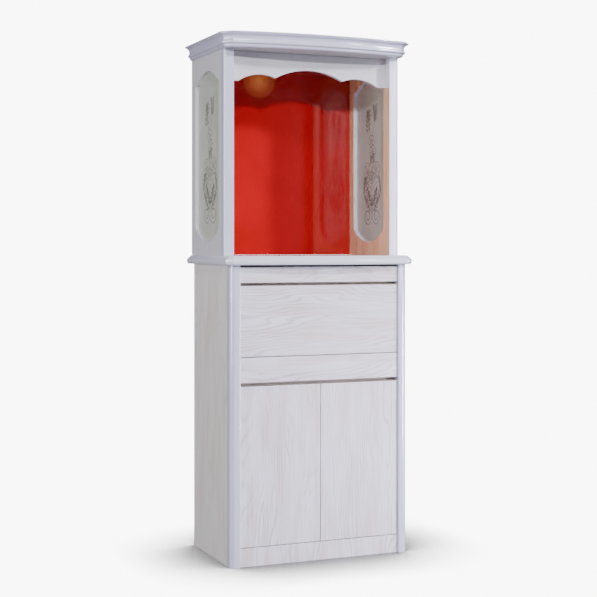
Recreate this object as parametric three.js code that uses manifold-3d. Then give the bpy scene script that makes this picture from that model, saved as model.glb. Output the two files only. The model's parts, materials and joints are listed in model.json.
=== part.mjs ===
// Household altar cabinet: an open shrine with a bowed crown and glazed sides, on a ledge over a
// cupboard with a pull-out tray, two drawers and two doors.
// Millimetres. +Z is up, the front faces -Y, and the origin is on the floor under the middle.
import * as THREE from "three";
import { mergeVertices } from "three/addons/utils/BufferGeometryUtils.js";
import Module from "manifold-3d";

const wasm = await Module();
wasm.setup();

// Driving dimensions: the whole
const bodyWidth = 680;          // outside width of the cupboard and of the shrine
const cupboardDepth = 399;      // front of the corner posts to the back of the cupboard
const ledgeDepth = 464;         // crown of the ledge's bow to its back edge
const ledgeOverhang = 39;       // how far the bow stands ahead of the cupboard's posts
const shrineDepth = 355;        // front of the shrine's posts to its back
const jointGap = 0.3;           // glue line between fixed pieces

// Driving dimensions: heights of the cupboard's front, from the floor up
const plinthHeight = 64;
const frontSeam = 2.5;          // thin seam between two fronts that touch
const doorHeight = 555;
const doorGroove = 12.5;        // finger groove over the doors
const shallowFrontHeight = 87.5;
const deepFrontHeight = 245;
const trayGroove = 11;          // finger groove under the tray
const trayFrontHeight = 54.5;
const ledgeClearance = 7;       // dark gap between the tray and the ledge

// Driving dimensions: the cupboard's boards
const postWidth = 36;
const postDepth = 39;
const postRadius = 22;          // rounded outer corner of a post
const postInnerRadius = 5;
const postProud = 9;            // how far the posts stand ahead of the drawers and doors
const boardThickness = 18;
const shelfThickness = 16;
const shelfSetback = 6;         // front edge of a shelf behind the backs of the fronts
const backThickness = 6;
const frontEdge = 1.2;          // small bevel round each drawer and door front
const frontGap = 1;             // gap at each side of a front
const doorMeetGap = 2;          // gap between the two doors
const slideClearance = 1;       // gap under and beside what slides
const drawerSideThickness = 12;
const drawerBottomThickness = 6;
const drawerBottomRise = 8;
const drawerLength = 340;
const drawerTopSpace = 10;      // free height over a drawer's sides
const trayLength = 330;
const trayThickness = 18;

// Driving dimensions: the ledge
const ledgeThickness = 32;
const ledgeSideReach = 19.5;    // how far the nose stands out beside the shrine
const ledgeBow = 18;
const ledgeChamfer = 21;
const ledgeNoseDepth = 18;      // length of the upper slope of the nose
const ledgeNoseHeight = 15.5;   // height of the nose's tip over the underside
const ledgeNoseUnder = 7;
const ledgeNoseRound = 3;
const ledgeNoseTipInset = 1.8;  // the upper slope starts this far in from the tip
const ledgeNoseEdge = 1.5;      // rounding of the ledge's top edge

// Driving dimensions: the shrine
const shrineHeight = 722;       // top of the ledge to the underside of the crown
const shrinePostWidth = 37;
const shrinePostDepth = 30;
const shrinePostRadius = 8;
const shrinePostLip = 4;        // thickness of the lip that covers the lining's front edge
const wallThickness = 18;
const liningThickness = 15.7;
const glassThickness = 5;
const glassRebate = 6;          // depth of the step that the glass sits in
const glassCover = 10;          // how far the step runs past the opening
const redPanelThickness = 8;
const windowFrontMargin = 56;   // shrine's front to the opening
const windowBackMargin = 45;
const windowSill = 50.5;        // lowest point of the opening over the ledge
const windowTopMargin = 59.5;   // top of the opening under the crown
const windowSillRise = 49;
const windowCornerRound = 10;   // rounding of the two lower corners, measured across
const windowArchRise = 36;
const windowShoulderWidth = 22;
const windowShoulderHeight = 18;
const valanceSetback = 37;
const valanceThickness = 18;
const valanceEndDrop = 106;     // depth of the valance at its flat ends
const valanceEndWidth = 34;
const valanceCuspWidth = 263;   // distance between the two cusps
const valanceCuspDrop = 90.5;
const valanceSideDrop = 80;     // depth at the top of a side arc
const valanceSideTop = 0.46;    // place of that top, as a share of the arc from its cusp
const valanceCentreDrop = 57.5;

// Driving dimensions: the crown
const crownHeight = 53;
const crownOverhang = 69;       // crown of the bow ahead of the shrine's posts
const crownBow = 28;
const crownChamfer = 21;
const crownWall = 14;           // thickness behind the foot of the moulding
const topBoardThickness = 18;
const beadReach = 8;
const beadHeight = 8.5;
const torusRadius = 5.5;
const torusCentreReach = 10;
const torusCentreHeight = 17;
const coveFootReach = 10.5;
const coveReach = 13.5;
const coveFootHeight = 27;
const coveHeight = 18;
const filletRadius = 3.3;
const filletReach = 23.4;

// How finely the round stretches are cut
const bowSteps = 22;
const archSteps = 14;
const cornerSteps = 8;
const profileSteps = 5;
const cutterSpare = 10;         // how far a cutting solid passes the faces that it cuts

// Places worked out from the sizes above
const halfWidth = bodyWidth / 2;
const ledgeFrontY = -ledgeDepth / 2;
const backY = ledgeDepth / 2;
const postFrontY = ledgeFrontY + ledgeOverhang;
const frontsY = postFrontY + postProud;
const cupboardBackY = postFrontY + cupboardDepth;
const frontsBackY = frontsY + boardThickness;
const doorBottom = plinthHeight + frontSeam;
const doorTop = doorBottom + doorHeight;
const shallowBottom = doorTop + doorGroove;
const shallowTop = shallowBottom + shallowFrontHeight;
const deepBottom = shallowTop + frontSeam;
const deepTop = deepBottom + deepFrontHeight;
const trayBottom = deepTop + trayGroove;
const trayTop = trayBottom + trayFrontHeight;
const ledgeBottom = trayTop + ledgeClearance;
const ledgeTop = ledgeBottom + ledgeThickness;
const crownBottom = ledgeTop + shrineHeight;
const shrineFrontY = backY - shrineDepth;
const frontsHalf = halfWidth - postWidth - frontGap;
const insideHalf = halfWidth - boardThickness - jointGap;
const wallInner = halfWidth - wallThickness;
const liningOuter = wallInner - jointGap;
const liningInner = liningOuter - liningThickness;
const redPanelY = backY - redPanelThickness;
const windowWidth = shrineDepth - windowFrontMargin - windowBackMargin;
const windowHeight = shrineHeight - windowSill - windowTopMargin;

// Finishes
function finish(color, roughness) {
  return new THREE.MeshStandardMaterial({ color, roughness, metalness: 0 });
}
const whiteLacquer = () => finish(0xd9d8e0, 0.35);
const whiteGrain = () => finish(0xd2cfd2, 0.5);
const innerWood = () => finish(0xc69e78, 0.5);
const rawWood = () => finish(0xa98e78, 0.7);
const redGloss = () => finish(0xc80a06, 0.2);
const frostedGlass = () => finish(0xa39c92, 0.25);

const cabinet = new THREE.Group();

function add(name, geometry, material, parent = cabinet) {
  const mesh = new THREE.Mesh(geometry, material);
  mesh.name = name;
  parent.add(mesh);
  return mesh;
}

// A plain rectangular board between two corners
function board(name, low, high, material) {
  const size = high.map((value, axis) => value - low[axis]);
  const mesh = add(name, new THREE.BoxGeometry(...size), material);
  mesh.position.set(...low.map((value, axis) => value + size[axis] / 2));
  return mesh;
}

// An outline in plan, raised along +Z
function raisePlan(shape, height) {
  return new THREE.ExtrudeGeometry(shape, { depth: height, bevelEnabled: false, curveSegments: cornerSteps });
}

// An outline seen from the front (x, z), with its thickness running from y to y - thickness
function standFront(shape, thickness, bevel = 0) {
  const settings = {
    depth: thickness - 2 * bevel,
    bevelEnabled: bevel > 0,
    bevelThickness: bevel,
    bevelSize: bevel,
    bevelOffset: -bevel,
    bevelSegments: 1,
    curveSegments: archSteps,
  };
  const geometry = new THREE.ExtrudeGeometry(shape, settings);
  geometry.translate(0, 0, bevel);
  const turn = new THREE.Matrix4().makeBasis(
    new THREE.Vector3(1, 0, 0), new THREE.Vector3(0, 0, 1), new THREE.Vector3(0, -1, 0));
  return geometry.applyMatrix4(turn);
}

// An outline seen from the side (y, z), with its thickness running along +X
function standSide(shape, thickness) {
  const geometry = new THREE.ExtrudeGeometry(shape,
    { depth: thickness, bevelEnabled: false, curveSegments: archSteps });
  const turn = new THREE.Matrix4().makeBasis(
    new THREE.Vector3(0, 1, 0), new THREE.Vector3(0, 0, 1), new THREE.Vector3(1, 0, 0));
  return geometry.applyMatrix4(turn);
}

function rectangle(left, right, bottom, top) {
  const shape = new THREE.Shape();
  shape.moveTo(left, bottom);
  shape.lineTo(right, bottom);
  shape.lineTo(right, top);
  shape.lineTo(left, top);
  shape.closePath();
  return shape;
}

// Adds the arc through the shape's last point, a middle point and an end point
function arcThrough(shape, middle, end) {
  const start = shape.currentPoint.clone();
  const a = middle.clone().sub(start);
  const b = end.clone().sub(start);
  const cross = 2 * (a.x * b.y - a.y * b.x);
  const centre = new THREE.Vector2(
    start.x + (b.y * a.lengthSq() - a.y * b.lengthSq()) / cross,
    start.y + (a.x * b.lengthSq() - b.x * a.lengthSq()) / cross);
  const radius = centre.distanceTo(start);
  const from = Math.atan2(start.y - centre.y, start.x - centre.x);
  const to = Math.atan2(end.y - centre.y, end.x - centre.x);
  shape.absarc(centre.x, centre.y, radius, from, to, cross < 0);
}

// Solids for cutting
function toSolid(geometry) {
  const bare = geometry.clone();
  bare.deleteAttribute("normal");
  bare.deleteAttribute("uv");
  const merged = mergeVertices(bare, 1e-4);
  return new wasm.Manifold(new wasm.Mesh({
    numProp: 3,
    vertProperties: new Float32Array(merged.attributes.position.array),
    triVerts: new Uint32Array(merged.index.array),
  }));
}

function toGeometry(solid) {
  const mesh = solid.getMesh();
  const geometry = new THREE.BufferGeometry();
  geometry.setAttribute("position", new THREE.BufferAttribute(new Float32Array(mesh.vertProperties), 3));
  geometry.setIndex(new THREE.BufferAttribute(new Uint32Array(mesh.triVerts), 1));
  geometry.computeVertexNormals();
  return geometry;
}

// The plan line that the ledge and the crown follow: right back corner, chamfer, bowed front,
// chamfer and left back corner
function bowedPath(half, frontEnd, chamfer, bow) {
  const shoulder = half - chamfer;
  const shoulderY = frontEnd + bow;
  const radius = (shoulder * shoulder + bow * bow) / (2 * bow);
  const reach = Math.asin(shoulder / radius);
  const path = [new THREE.Vector2(half, backY), new THREE.Vector2(half, shoulderY + chamfer)];
  for (let step = 0; step <= bowSteps; step += 1) {
    const angle = reach * (1 - (2 * step) / bowSteps);
    path.push(new THREE.Vector2(radius * Math.sin(angle), frontEnd + radius * (1 - Math.cos(angle))));
  }
  path.push(new THREE.Vector2(-half, shoulderY + chamfer), new THREE.Vector2(-half, backY));
  return path;
}

// Outward directions at each point of a path, lengthened at the corners so that offsets stay even
function outwardAt(path) {
  const sides = path.slice(1).map((point, index) => {
    const along = point.clone().sub(path[index]).normalize();
    return new THREE.Vector2(-along.y, along.x);
  });
  return path.map((point, index) => {
    const before = sides[Math.max(index - 1, 0)];
    const after = sides[Math.min(index, sides.length - 1)];
    return before.clone().add(after).divideScalar(1 + before.dot(after));
  });
}

function offsetPath(path, distance) {
  const outward = outwardAt(path);
  return path.map((point, index) => point.clone().addScaledVector(outward[index], distance));
}

function indexedGeometry(points, triangles) {
  const geometry = new THREE.BufferGeometry();
  geometry.setAttribute("position", new THREE.Float32BufferAttribute(points, 3));
  geometry.setIndex(triangles);
  return geometry;
}

// A moulding: a closed section of (reach, height) points carried along a path, with flat ends
function sweepAlong(path, section) {
  const outward = outwardAt(path);
  const points = [];
  path.forEach((point, index) => {
    section.forEach(([reach, height]) => {
      points.push(point.x + outward[index].x * reach, point.y + outward[index].y * reach, height);
    });
  });
  const count = section.length;
  const last = (path.length - 1) * count;
  const triangles = [];
  for (let row = 0; row < path.length - 1; row += 1) {
    for (let side = 0; side < count; side += 1) {
      const a = row * count + side;
      const b = row * count + ((side + 1) % count);
      triangles.push(a, b, b + count, a, b + count, a + count);
    }
  }
  const contour = section.map(([reach, height]) => new THREE.Vector2(reach, height));
  THREE.ShapeUtils.triangulateShape(contour, []).forEach(([a, b, c]) => {
    triangles.push(c, b, a, last + a, last + b, last + c);
  });
  return indexedGeometry(points, triangles);
}

// A slab whose edge follows a path at the front and sides, with (inset, height) levels, flat at the back
function stackLevels(path, levels) {
  const points = [];
  levels.forEach(([inset, height]) => {
    offsetPath(path, -inset).forEach((point) => points.push(point.x, point.y, height));
  });
  const count = path.length;
  const top = (levels.length - 1) * count;
  const triangles = [];
  for (let level = 0; level < levels.length - 1; level += 1) {
    for (let side = 0; side < count; side += 1) {
      const a = level * count + side;
      const b = level * count + ((side + 1) % count);
      triangles.push(b, a, a + count, b, a + count, b + count);
    }
  }
  const bottomRing = offsetPath(path, -levels[0][0]).reverse();
  THREE.ShapeUtils.triangulateShape(bottomRing, []).forEach((corners) => {
    const [a, b, c] = corners.map((corner) => count - 1 - corner);
    triangles.push(c, b, a);
  });
  const topRing = offsetPath(path, -levels[levels.length - 1][0]).reverse();
  THREE.ShapeUtils.triangulateShape(topRing, []).forEach((corners) => {
    const [a, b, c] = corners.map((corner) => top + count - 1 - corner);
    triangles.push(a, b, c);
  });
  return indexedGeometry(points, triangles);
}

// Points of an elliptic arc in a section, both angles in quarter turns
function sectionArc(centreReach, centreHeight, radiusReach, radiusHeight, from, to) {
  const points = [];
  for (let step = 0; step <= profileSteps; step += 1) {
    const angle = (from + ((to - from) * step) / profileSteps) * (Math.PI / 2);
    points.push([centreReach + radiusReach * Math.cos(angle), centreHeight + radiusHeight * Math.sin(angle)]);
  }
  return points;
}

// Cupboard: corner posts, sides, back, plinth and shelves
function postShape(side) {
  const inner = side * (halfWidth - postWidth);
  const outer = side * halfWidth;
  const back = postFrontY + postDepth;
  const shape = new THREE.Shape();
  shape.moveTo(inner, back);
  shape.lineTo(inner, postFrontY + postInnerRadius);
  shape.quadraticCurveTo(inner, postFrontY, inner + side * postInnerRadius, postFrontY);
  shape.lineTo(outer - side * postRadius, postFrontY);
  shape.absarc(outer - side * postRadius, postFrontY + postRadius, postRadius,
    -Math.PI / 2, side > 0 ? 0 : -Math.PI, side < 0);
  shape.lineTo(outer, back);
  shape.closePath();
  return shape;
}

function makeCupboardCase() {
  const top = ledgeBottom - jointGap;
  const sideFront = postFrontY + postDepth + jointGap;
  for (const [label, side] of [["left", -1], ["right", 1]]) {
    add(`cupboard_${label}_post`, raisePlan(postShape(side), top), whiteLacquer());
    const edges = [side * halfWidth, side * (halfWidth - boardThickness)].sort((a, b) => a - b);
    board(`cupboard_${label}_side`, [edges[0], sideFront, 0], [edges[1], cupboardBackY, top], whiteGrain());
  }
  const backFront = cupboardBackY - backThickness;
  const shelfFront = frontsBackY + shelfSetback;
  const shelfBack = backFront - jointGap;
  board("cupboard_back", [-insideHalf, backFront, plinthHeight - boardThickness],
    [insideHalf, cupboardBackY, top], rawWood());
  board("plinth_rail", [-frontsHalf - frontGap + jointGap, frontsY, 0],
    [frontsHalf + frontGap - jointGap, frontsBackY, plinthHeight], whiteGrain());
  const bottomShape = shelfShape(frontsBackY + jointGap, shelfBack);
  const bottom = add("cupboard_bottom", raisePlan(bottomShape, boardThickness), rawWood());
  bottom.position.z = plinthHeight - boardThickness;
  const shelves = {
    shelf_over_doors: shallowBottom - slideClearance,
    shelf_under_deep_drawer: deepBottom - slideClearance,
    shelf_under_tray: trayBottom - slideClearance,
  };
  for (const [name, shelfTop] of Object.entries(shelves)) {
    const outline = shelfShape(shelfFront, shelfBack);
    const mesh = add(name, raisePlan(outline, shelfThickness), rawWood());
    mesh.position.z = shelfTop - shelfThickness;
  }
}

// A shelf is cut back at its front corners, round the posts
function shelfShape(front, back) {
  const notchHalf = halfWidth - postWidth - jointGap;
  const notchBack = postFrontY + postDepth + jointGap;
  const shape = new THREE.Shape();
  shape.moveTo(-notchHalf, front);
  shape.lineTo(notchHalf, front);
  shape.lineTo(notchHalf, notchBack);
  shape.lineTo(insideHalf, notchBack);
  shape.lineTo(insideHalf, back);
  shape.lineTo(-insideHalf, back);
  shape.lineTo(-insideHalf, notchBack);
  shape.lineTo(-notchHalf, notchBack);
  shape.closePath();
  return shape;
}

// Drawers, tray and doors
function makeFront(name, left, right, bottom, top) {
  const mesh = add(name, standFront(rectangle(left, right, bottom, top), boardThickness, frontEdge), whiteGrain());
  mesh.position.y = frontsBackY;
}

function makeDrawer(name, bottom, top, floor, ceiling) {
  makeFront(`${name}_front`, -frontsHalf, frontsHalf, bottom, top);
  const outer = halfWidth - postWidth - slideClearance;
  const inner = outer - drawerSideThickness;
  const low = floor + slideClearance;
  const high = ceiling - drawerTopSpace;
  const front = frontsBackY + jointGap;
  const back = front + drawerLength;
  const backFront = back - drawerSideThickness;
  for (const [label, edges] of [["left", [-outer, -inner]], ["right", [inner, outer]]]) {
    board(`${name}_${label}_side`, [edges[0], front, low], [edges[1], back, high], innerWood());
  }
  board(`${name}_back`, [-inner + jointGap, backFront, low], [inner - jointGap, back, high], innerWood());
  board(`${name}_bottom`, [-inner + jointGap, front, low + drawerBottomRise],
    [inner - jointGap, backFront - jointGap, low + drawerBottomRise + drawerBottomThickness], innerWood());
}

function makeTray() {
  makeFront("tray_front", -frontsHalf, frontsHalf, trayBottom, trayTop);
  const half = halfWidth - postWidth - slideClearance;
  const front = frontsBackY + jointGap;
  const low = trayBottom;
  board("tray_board", [-half, front, low], [half, front + trayLength, low + trayThickness], innerWood());
}

function makeDoors() {
  makeFront("left_door", -frontsHalf, -doorMeetGap / 2, doorBottom, doorTop);
  makeFront("right_door", doorMeetGap / 2, frontsHalf, doorBottom, doorTop);
}

// Ledge between cupboard and shrine
function makeLedge() {
  const path = bowedPath(halfWidth + ledgeSideReach, ledgeFrontY, ledgeChamfer, ledgeBow);
  const tip = ledgeNoseHeight;
  const under = sectionArc(ledgeNoseUnder, tip, ledgeNoseUnder, tip, -1, -2);
  const slopeStart = [ledgeNoseTipInset, tip + ledgeNoseRound];
  const slopeEnd = [ledgeNoseDepth - ledgeNoseRound, ledgeThickness - ledgeNoseEdge];
  const levels = [...under, slopeStart, slopeEnd, [ledgeNoseDepth, ledgeThickness]];
  const mesh = add("ledge", stackLevels(path, levels), whiteLacquer());
  mesh.position.z = ledgeBottom;
}

// Shrine: walls with shaped windows, linings, glass, posts, valance and red back panel
function windowShape(centreY, sill) {
  const half = windowWidth / 2;
  const arch = half - windowShoulderWidth;
  const top = sill + windowHeight;
  const cusp = top - windowArchRise;
  const shoulder = cusp - windowShoulderHeight;
  const radius = (half * half + windowSillRise * windowSillRise) / (2 * windowSillRise);
  const trimmed = half - windowCornerRound;
  const drop = Math.sqrt(radius * radius - trimmed * trimmed);
  const arcEnd = sill + radius - drop;
  const control = arcEnd + (windowCornerRound * trimmed) / drop;
  const corner = control + Math.hypot(windowCornerRound, control - arcEnd);
  const shape = new THREE.Shape();
  shape.moveTo(centreY - half, corner);
  shape.quadraticCurveTo(centreY - half, control, centreY - trimmed, arcEnd);
  arcThrough(shape, new THREE.Vector2(centreY, sill), new THREE.Vector2(centreY + trimmed, arcEnd));
  shape.quadraticCurveTo(centreY + half, control, centreY + half, corner);
  shape.lineTo(centreY + half, shoulder);
  shape.quadraticCurveTo(centreY + half, cusp, centreY + arch, cusp);
  arcThrough(shape, new THREE.Vector2(centreY, top), new THREE.Vector2(centreY - arch, cusp));
  shape.quadraticCurveTo(centreY - half, cusp, centreY - half, shoulder);
  shape.closePath();
  return shape;
}

function makeShrineSide(label, side) {
  const low = ledgeTop + jointGap;
  const high = crownBottom - jointGap;
  const wallFront = shrineFrontY + shrinePostDepth + jointGap;
  const centreY = backY - windowBackMargin - windowWidth / 2;
  const sill = ledgeTop + windowSill;
  const outerX = side > 0 ? wallInner : -halfWidth;
  const opening = standSide(windowShape(centreY, sill), wallThickness + 2 * cutterSpare).translate(
    outerX - cutterSpare, 0, 0);
  const paneY = [centreY - windowWidth / 2 - glassCover, centreY + windowWidth / 2 + glassCover];
  const paneZ = [sill - glassCover, sill + windowHeight + glassCover];
  const stepX = side > 0 ? wallInner - glassRebate : -wallInner - glassRebate;
  const step = standSide(rectangle(...paneY, ...paneZ), glassRebate * 2).translate(stepX, 0, 0);
  const wall = standSide(rectangle(wallFront, backY, low, high), wallThickness).translate(outerX, 0, 0);
  const wallSolid = toSolid(wall).subtract(toSolid(opening)).subtract(toSolid(step));
  add(`shrine_${label}_wall`, toGeometry(wallSolid), whiteLacquer());

  const liningX = side > 0 ? liningInner : -liningOuter;
  const liningFront = shrineFrontY + shrinePostLip + jointGap;
  const liningShape = rectangle(liningFront, redPanelY - jointGap, low, high);
  const lining = standSide(liningShape, liningThickness).translate(liningX, 0, 0);
  const liningSolid = toSolid(lining).subtract(toSolid(opening.translate(-side * wallThickness, 0, 0)));
  add(`shrine_${label}_lining`, toGeometry(liningSolid), innerWood());

  const paneX = side * (wallInner + glassRebate / 2);
  board(`${label}_window_glass`,
    [paneX - glassThickness / 2, paneY[0] + jointGap, paneZ[0] + jointGap],
    [paneX + glassThickness / 2, paneY[1] - jointGap, paneZ[1] - jointGap], frostedGlass());

  const post = add(`shrine_${label}_post`, raisePlan(shrinePostShape(side), high - low), whiteLacquer());
  post.position.z = low;
}

// A shrine post is an L in plan: a round-cornered block with a lip over the lining's front edge
function shrinePostShape(side) {
  const outer = side * halfWidth;
  const back = shrineFrontY + shrinePostDepth;
  const shape = new THREE.Shape();
  shape.moveTo(outer - side * shrinePostWidth, shrineFrontY);
  shape.lineTo(outer - side * shrinePostRadius, shrineFrontY);
  shape.absarc(outer - side * shrinePostRadius, shrineFrontY + shrinePostRadius, shrinePostRadius,
    -Math.PI / 2, side > 0 ? 0 : -Math.PI, side < 0);
  shape.lineTo(outer, back);
  shape.lineTo(side * wallInner, back);
  shape.lineTo(side * wallInner, shrineFrontY + shrinePostLip);
  shape.lineTo(outer - side * shrinePostWidth, shrineFrontY + shrinePostLip);
  shape.closePath();
  return shape;
}

function makeValance() {
  const half = liningInner - jointGap;
  const top = crownBottom - jointGap;
  const end = crownBottom - valanceEndDrop;
  const cusp = crownBottom - valanceCuspDrop;
  const cuspX = valanceCuspWidth / 2;
  const endX = half - valanceEndWidth;
  const sideTop = new THREE.Vector2(cuspX + (endX - cuspX) * valanceSideTop, crownBottom - valanceSideDrop);
  const shape = new THREE.Shape();
  shape.moveTo(-half, end);
  shape.lineTo(-endX, end);
  arcThrough(shape, new THREE.Vector2(-sideTop.x, sideTop.y), new THREE.Vector2(-cuspX, cusp));
  arcThrough(shape, new THREE.Vector2(0, crownBottom - valanceCentreDrop), new THREE.Vector2(cuspX, cusp));
  arcThrough(shape, sideTop, new THREE.Vector2(endX, end));
  shape.lineTo(half, end);
  shape.lineTo(half, top);
  shape.lineTo(-half, top);
  shape.closePath();
  const mesh = add("valance", standFront(shape, valanceThickness), whiteLacquer());
  mesh.position.y = shrineFrontY + valanceSetback + valanceThickness;
}

function makeShrine() {
  makeShrineSide("left", -1);
  makeShrineSide("right", 1);
  makeValance();
  board("red_back_panel", [-liningOuter, redPanelY, ledgeTop + jointGap],
    [liningOuter, backY, crownBottom - jointGap], redGloss());
}

// Crown: a bead, a torus, a cove and a rounded fillet, bent round the front and both sides
function makeCrown() {
  const frontEnd = shrineFrontY - crownOverhang;
  const path = bowedPath(halfWidth, frontEnd, crownChamfer, crownBow);
  const section = [
    [-crownWall, 0],
    ...sectionArc(0, beadHeight, beadReach, beadHeight, -1, 0),
    ...sectionArc(torusCentreReach, torusCentreHeight, torusRadius, torusRadius, -1, 0.75),
    ...sectionArc(coveFootReach + coveReach, coveFootHeight, coveReach, coveHeight, 2, 1),
    ...sectionArc(filletReach, crownHeight - filletRadius, filletRadius, filletRadius, -1, 1),
    [-crownWall, crownHeight],
  ];
  const moulding = add("crown_moulding", sweepAlong(path, section), whiteLacquer());
  moulding.position.z = crownBottom;
  const boardEdge = offsetPath(path, -crownWall - jointGap).reverse();
  const topBoard = add("shrine_top_board", raisePlan(new THREE.Shape(boardEdge), topBoardThickness), whiteLacquer());
  topBoard.position.z = crownBottom;
}

makeCupboardCase();
makeTray();
makeDrawer("deep_drawer", deepBottom, deepTop, deepBottom - slideClearance,
  trayBottom - slideClearance - shelfThickness);
makeDrawer("shallow_drawer", shallowBottom, shallowTop, shallowBottom - slideClearance,
  deepBottom - slideClearance - shelfThickness);
makeDoors();
makeLedge();
makeShrine();
makeCrown();

export default cabinet;
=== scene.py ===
# The looks of the household altar cabinet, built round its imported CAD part.
# Metres. +Z is up, the front faces -Y, and the origin is on the floor under the middle.
import json
import math
import bmesh
import bpy
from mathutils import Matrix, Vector
from mathutils.geometry import tessellate_polygon


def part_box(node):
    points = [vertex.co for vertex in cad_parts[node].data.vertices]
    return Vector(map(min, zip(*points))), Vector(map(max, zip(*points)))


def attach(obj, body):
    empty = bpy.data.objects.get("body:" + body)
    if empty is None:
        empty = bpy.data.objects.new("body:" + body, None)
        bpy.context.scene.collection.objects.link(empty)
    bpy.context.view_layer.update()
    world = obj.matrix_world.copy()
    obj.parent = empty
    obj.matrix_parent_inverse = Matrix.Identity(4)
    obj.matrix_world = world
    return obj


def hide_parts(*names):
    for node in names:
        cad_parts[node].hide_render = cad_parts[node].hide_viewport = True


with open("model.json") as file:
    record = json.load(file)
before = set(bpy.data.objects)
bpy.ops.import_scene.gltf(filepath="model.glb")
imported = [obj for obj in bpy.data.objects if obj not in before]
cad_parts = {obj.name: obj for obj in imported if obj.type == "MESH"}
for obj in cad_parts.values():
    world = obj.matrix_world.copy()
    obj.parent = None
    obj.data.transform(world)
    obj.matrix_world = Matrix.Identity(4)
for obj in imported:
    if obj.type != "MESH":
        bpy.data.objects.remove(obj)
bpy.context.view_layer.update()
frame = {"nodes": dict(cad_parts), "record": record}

MM = 0.001
DEGREE = math.pi / 180
BODY_OF = {}
for body_name, members in frame["record"]["behaviour"]["bodies"].items():
    for member in members:
        BODY_OF[member] = body_name

# Sizes of the curved pieces that their boxes don't give
CUPBOARD_POST_RADIUS = 22 * MM
CUPBOARD_POST_INNER_RADIUS = 5 * MM
SHRINE_POST_RADIUS = 8 * MM
SHRINE_POST_LIP = 4 * MM
SHRINE_POST_LIP_WIDTH = 19 * MM
JOINT_GAP = 0.3 * MM
COVER_STRIP = 0.6 * MM
LEDGE_BOW = 18 * MM
LEDGE_CHAMFER = 21 * MM
LEDGE_NOSE = (7 * MM, 15.5 * MM)
LEDGE_CORNER_ROUND = 7 * MM
CROWN_REACH = 26.7 * MM
CROWN_BOW = 28 * MM
CROWN_CHAMFER = 21 * MM
CROWN_WALL = 14 * MM
CROWN_CORNER_ROUND = 4 * MM
SHARP_CORNER = 0.01 * MM
WINDOW_COVER = 9.7 * MM
ETCH_DEPTH = 0.15 * MM
WINDOW_SILL_RISE = 49 * MM
WINDOW_CORNER_ROUND = 10 * MM
WINDOW_ARCH_RISE = 36 * MM
WINDOW_SHOULDER = (22 * MM, 18 * MM)
VALANCE_END = 34 * MM
VALANCE_CUSP = (131.5 * MM, 15.5 * MM)
VALANCE_SIDE_RISE = 26 * MM
VALANCE_SIDE_PLACE = 0.46
VALANCE_CENTRE_RISE = 48.5 * MM

# Softened edges, and the seat that keeps a pane off its wall
VALANCE_EDGE = 1.0 * MM
LINING_EDGE = 1.2 * MM
WALL_EDGE = 0.8 * MM
POST_EDGE = 0.8 * MM
BOARD_EDGE = 0.8 * MM
FINE_EDGE = 0.6 * MM
SLIM_EDGE = 0.4 * MM
PANE_SEAT = 0.5 * MM
# Faces turned further than this from the front take the painted shade of the gaps between the fronts
GAP_SHADE_TILT = 0.5

# The crown's profile in millimetres: centre, radii, first and last quarter turn, added steps
CROWN_ARCS = (
    ((0.0, 8.5), (8.0, 8.5), -1, 0, 0),
    ((10.0, 17.0), (5.5, 5.5), -1, 0.75, 4),
    ((24.0, 27.0), (13.5, 18.0), 2, 1, 2),
    ((23.4, 49.7), (3.3, 3.3), -1, 1, 0),
)

# The ledge's edge above its round nose in millimetres: inset with the height over the underside,
# then inset with the depth below the top
LEDGE_LOWER_STEPS = ((0.5, 17.2), (1.8, 18.5))
LEDGE_UPPER_STEPS = ((15.0, 1.5), (16.6, 0.4), (18.0, 0.0))

# How finely the round stretches are cut
ARC_STEPS = 40
BOW_STEPS = 72
CORNER_STEPS = 12
RING_CORNER_STEPS = 5
PROFILE_STEPS = 10
EDGE_SEGMENTS = 3
SLIM_EDGE_SEGMENTS = 2
LEAF_STEPS = 6
PETAL_STEPS = 16
CURL_STEPS = 36
STEM_STEPS = 14
SMOOTH_ANGLE = math.radians(28)
WELD_DISTANCE = 1e-6
FLAT_RIM = 0.3 * MM
LONG_SIDE = 12 * FLAT_RIM

# Pale, line and patch colours of the grained finishes
LACQUER_COLOURS = ((0.69, 0.68, 0.89), (0.51, 0.49, 0.63), (0.675, 0.66, 0.85))
WALL_COLOURS = ((0.69, 0.68, 0.75), (0.48, 0.45, 0.475), (0.68, 0.66, 0.71))
FRONT_COLOURS = ((0.85, 0.84, 0.95), (0.34, 0.275, 0.295), (0.80, 0.715, 0.765))
SIDE_COLOURS = ((0.85, 0.825, 0.84), (0.44, 0.36, 0.345), (0.80, 0.73, 0.715))
VENEER_COLOURS = ((0.95, 0.645, 0.415), (0.60, 0.27, 0.13), (0.88, 0.48, 0.29))
DRAWER_COLOURS = ((0.52, 0.34, 0.20), (0.30, 0.16, 0.08), (0.50, 0.31, 0.18))
CARCASS_COLOURS = ((0.50, 0.44, 0.40), (0.30, 0.24, 0.20), (0.47, 0.40, 0.35))

# The two shades of the speckled finishes
RED_COLOURS = ((0.43, 0.0002, 0.003), (0.39, 0.0001, 0.0025))
GLASS_COLOURS = ((0.71, 0.74, 0.675), (0.65, 0.68, 0.62))
ETCHING_COLOURS = ((0.27, 0.26, 0.235), (0.37, 0.355, 0.325))
# Painted shade: the dark grey laid on the fronts' edges stands for the shade in the gaps between them
GAP_SHADE_COLOURS = ((0.26, 0.235, 0.235), (0.20, 0.175, 0.175))
SPECKLE_RAMP = (0.32, 0.68)
SPECKLE_DETAIL = 3.0

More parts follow.
